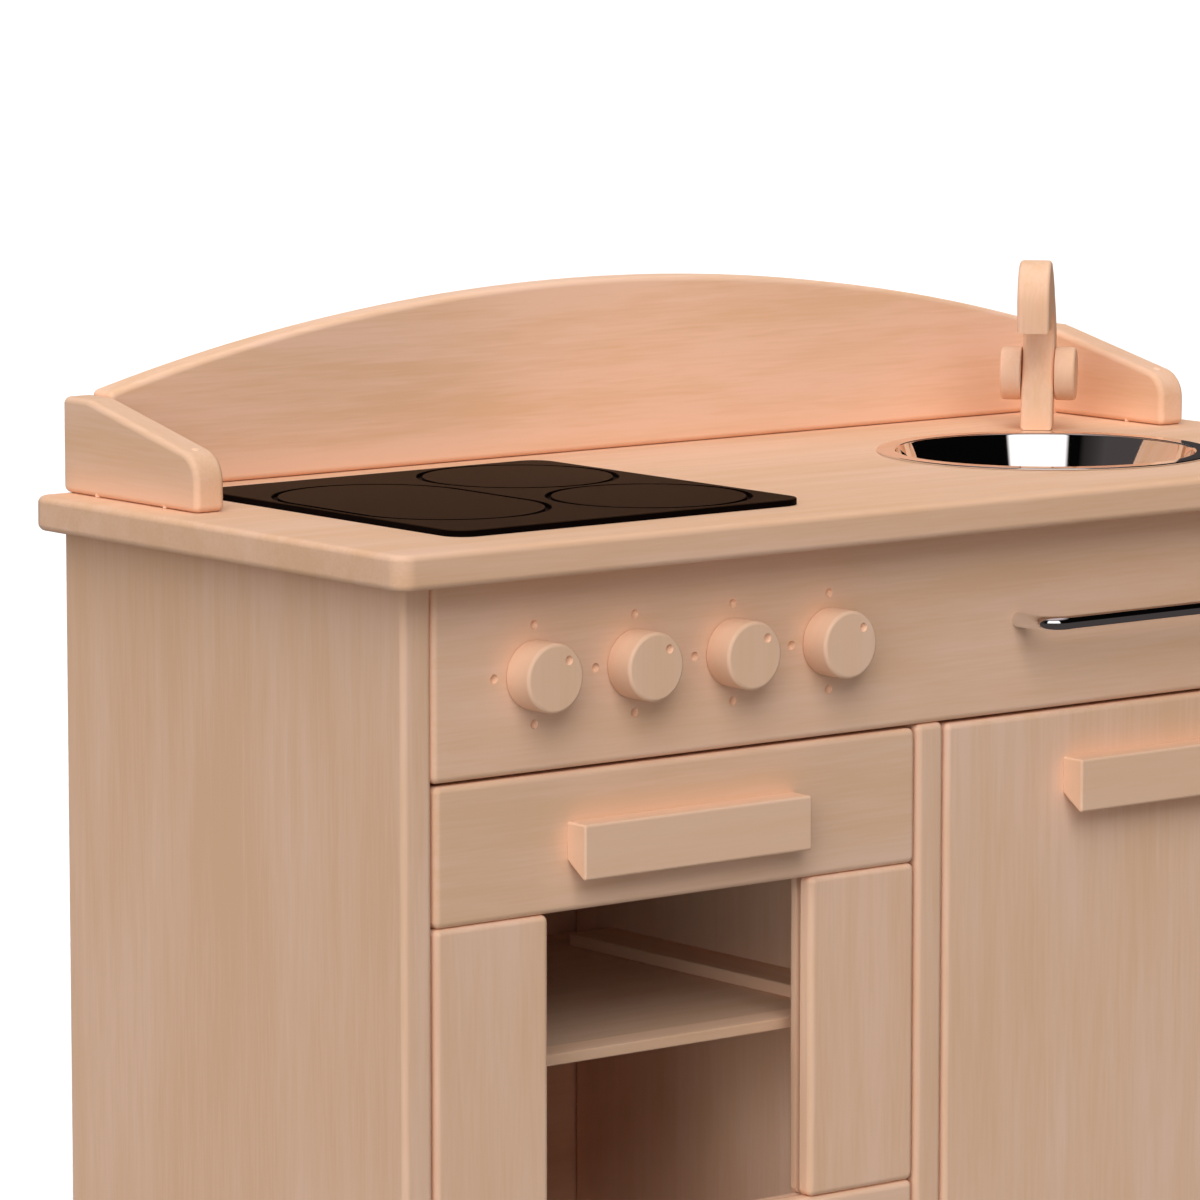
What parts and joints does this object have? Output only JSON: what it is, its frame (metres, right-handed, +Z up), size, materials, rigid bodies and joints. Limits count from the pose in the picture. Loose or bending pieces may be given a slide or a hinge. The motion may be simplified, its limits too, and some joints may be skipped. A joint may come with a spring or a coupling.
{
  "type": "toy kitchen",
  "caption": "Wooden play kitchen with a windowed oven, a sink cupboard, control knobs, hob plate, steel bowl, swivelling tap and an arched backsplash.",
  "frame": {"origin": "middle of the footprint box on the floor", "axes": "+X to the right along the front, +Y to the back, +Z up; the front faces -Y"},
  "size_m": [0.722, 0.3248, 0.5968],
  "materials": {
    "beech": "fine straight grain, clear matte oil",
    "plywood": "sanded thin plywood",
    "hob_plate": "dark brown satin plate with black engraved rings",
    "polished_steel": "mirror-polished stainless steel sheet",
    "chrome": "mirror chrome",
    "screw_steel": "zinc-plated steel",
    "magnet_steel": "nickel-plated",
    "clear_pane": "clear smooth pane"
  },
  "bodies": {
    "cabinet": {"side_panel_left": "beech", "side_panel_right": "beech", "centre_divider": "beech", "bottom_board": "beech", "plinth_board": "beech", "control_panel": "beech", "stop_rail_left": "beech", "stop_rail_right": "beech", "wing_left": "beech", "wing_right": "beech", "worktop": "beech", "backsplash": "beech", "wing_dowel_left_1": "beech", "wing_dowel_left_2": "beech", "wing_dowel_right_1": "beech", "wing_dowel_right_2": "beech", "back_panel": "plywood", "oven_shelf": "plywood", "shelf_cleat_left": "plywood", "shelf_cleat_right": "plywood", "hob_plate": "hob_plate", "sink_bowl": "polished_steel", "towel_rail": "chrome", "towel_rail_screw_left": "screw_steel", "towel_rail_screw_right": "screw_steel", "oven_pin_left": "screw_steel", "oven_pin_right": "screw_steel", "cupboard_pin_top": "screw_steel", "cupboard_pin_bottom": "screw_steel", "oven_magnet": "magnet_steel", "cupboard_magnet": "magnet_steel"},
    "oven_door": {"oven_door_top_rail": "beech", "oven_door_bottom_rail": "beech", "oven_door_stile_left": "beech", "oven_door_stile_right": "beech", "oven_door_pane": "clear_pane", "oven_door_handle": "beech", "oven_strike": "magnet_steel", "oven_handle_screw_left": "screw_steel", "oven_handle_screw_right": "screw_steel"},
    "cupboard_door": {"cupboard_door_panel": "beech", "cupboard_door_handle": "beech", "cupboard_strike": "magnet_steel", "cupboard_handle_screw_left": "screw_steel", "cupboard_handle_screw_right": "screw_steel"},
    "knob_1": {"control_knob_1": "beech", "knob_screw_1": "screw_steel"},
    "knob_2": {"control_knob_2": "beech", "knob_screw_2": "screw_steel"},
    "knob_3": {"control_knob_3": "beech", "knob_screw_3": "screw_steel"},
    "knob_4": {"control_knob_4": "beech", "knob_screw_4": "screw_steel"},
    "tap": {"tap_body": "beech", "tap_dowel": "beech", "tap_retainer": "beech", "tap_axle": "beech"},
    "left_tap_handle": {"tap_knob_left": "beech"},
    "right_tap_handle": {"tap_knob_right": "beech"}
  },
  "joints": [
    {"name": "oven_door_hinge", "type": "hinge", "parent": "cabinet", "child": "oven_door", "pos_m": [-0.166, -0.1235, 0.0773], "axis": [1, 0, 0], "range_deg": [0, 90]},
    {"name": "cupboard_door_hinge", "type": "hinge", "parent": "cabinet", "child": "cupboard_door", "pos_m": [0.3125, -0.1265, 0.2258], "axis": [0, 0, 1], "range_deg": [0, 115]},
    {"name": "knob_1_turn", "type": "hinge", "parent": "cabinet", "child": "knob_1", "pos_m": [-0.2603, -0.1325, 0.4309], "axis": [0, -1, 0], "continuous": true},
    {"name": "knob_2_turn", "type": "hinge", "parent": "cabinet", "child": "knob_2", "pos_m": [-0.1969, -0.1325, 0.4309], "axis": [0, -1, 0], "continuous": true},
    {"name": "knob_3_turn", "type": "hinge", "parent": "cabinet", "child": "knob_3", "pos_m": [-0.1335, -0.1325, 0.4309], "axis": [0, -1, 0], "continuous": true},
    {"name": "knob_4_turn", "type": "hinge", "parent": "cabinet", "child": "knob_4", "pos_m": [-0.0701, -0.1325, 0.4309], "axis": [0, -1, 0], "continuous": true},
    {"name": "tap_swivel", "type": "hinge", "parent": "cabinet", "child": "tap", "pos_m": [0.2568, 0.0725, 0.5003], "axis": [0, 0, 1], "continuous": true},
    {"name": "left_tap_handle_turn", "type": "hinge", "parent": "tap", "child": "left_tap_handle", "pos_m": [0.26405, 0.07938, 0.5308], "axis": [-0.6884, 0.7254, 0], "continuous": true},
    {"name": "right_tap_handle_turn", "type": "hinge", "parent": "tap", "child": "right_tap_handle", "pos_m": [0.26405, 0.07938, 0.5308], "axis": [0.6884, -0.7254, 0], "continuous": true}
  ]
}
